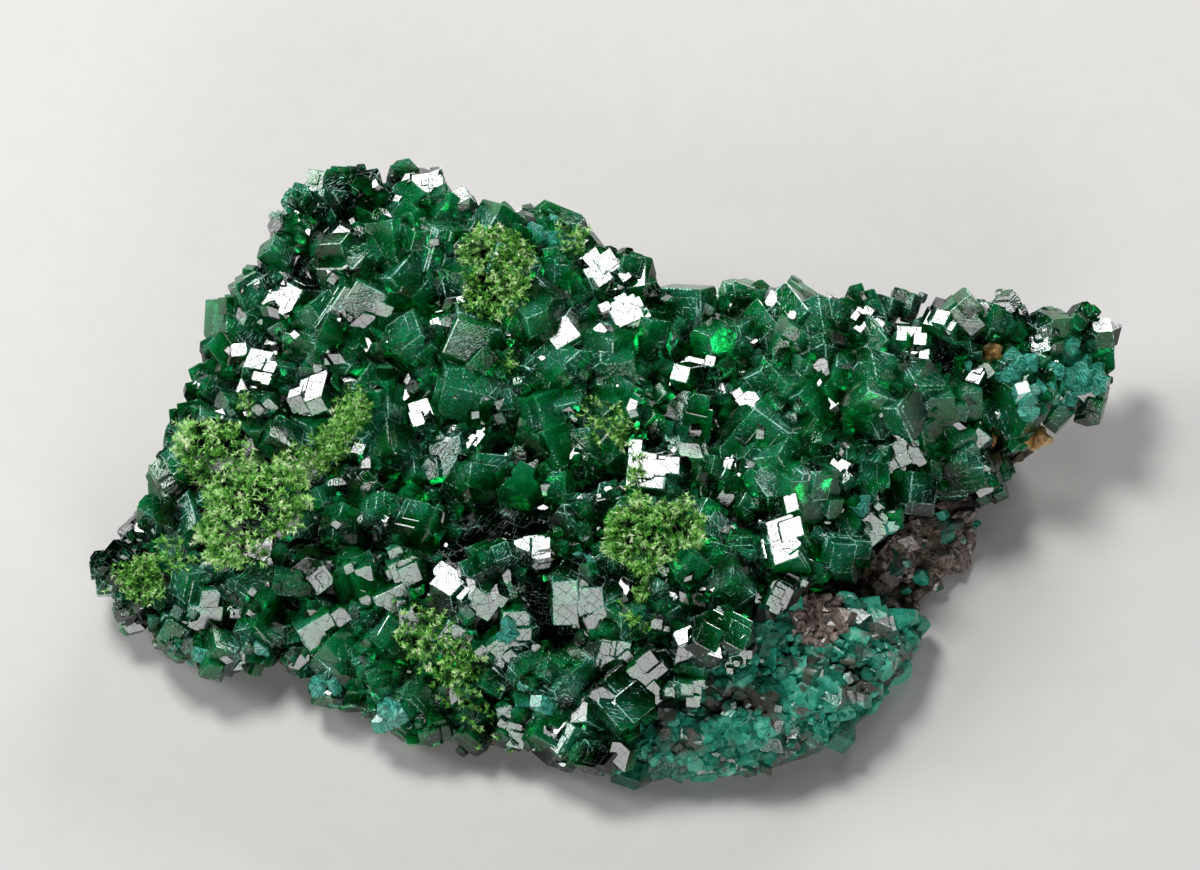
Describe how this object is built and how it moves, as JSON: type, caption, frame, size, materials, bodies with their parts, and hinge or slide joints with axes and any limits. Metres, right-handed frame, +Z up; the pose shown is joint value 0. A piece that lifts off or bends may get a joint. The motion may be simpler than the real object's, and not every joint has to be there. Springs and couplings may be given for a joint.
{
  "type": "dioptase crystal specimen",
  "caption": "Hand specimen of intergrown emerald-green dioptase crystals on a brown rock plate, with mossy needle tufts, a broken turquoise edge and ochre grains; rests on its flat back.",
  "frame": {"origin": "on the flat back of the plate, at the table, near the middle of the specimen", "axes": "+X along the specimen's length, towards its pointed right end; +Y away from the front edge; +Z up, out of the crystal side"},
  "size_m": [0.1018, 0.0663, 0.0208],
  "materials": {
    "rock": "rough, broken, stained brown and turquoise",
    "dioptase": "vitreous crystal faces, translucent emerald green",
    "massive_dioptase": "broken, cleaved, waxy turquoise green",
    "moss_needles": "fine matted needles, silky to dull",
    "ochre": "stained, dull to waxy crystal faces"
  },
  "bodies": {
    "root": {"matrix": "rock", "crystal_druse": "dioptase", "cleaved_seam": "massive_dioptase", "moss_left_mound": "moss_needles", "moss_top": "moss_needles", "moss_centre": "moss_needles", "moss_low": "moss_needles", "moss_saddle": "moss_needles", "moss_corner": "moss_needles", "moss_rim": "moss_needles", "ochre_grain_front": "ochre", "ochre_grain_ridge": "ochre", "ochre_grain_edge": "ochre"}
  },
  "joints": []
}
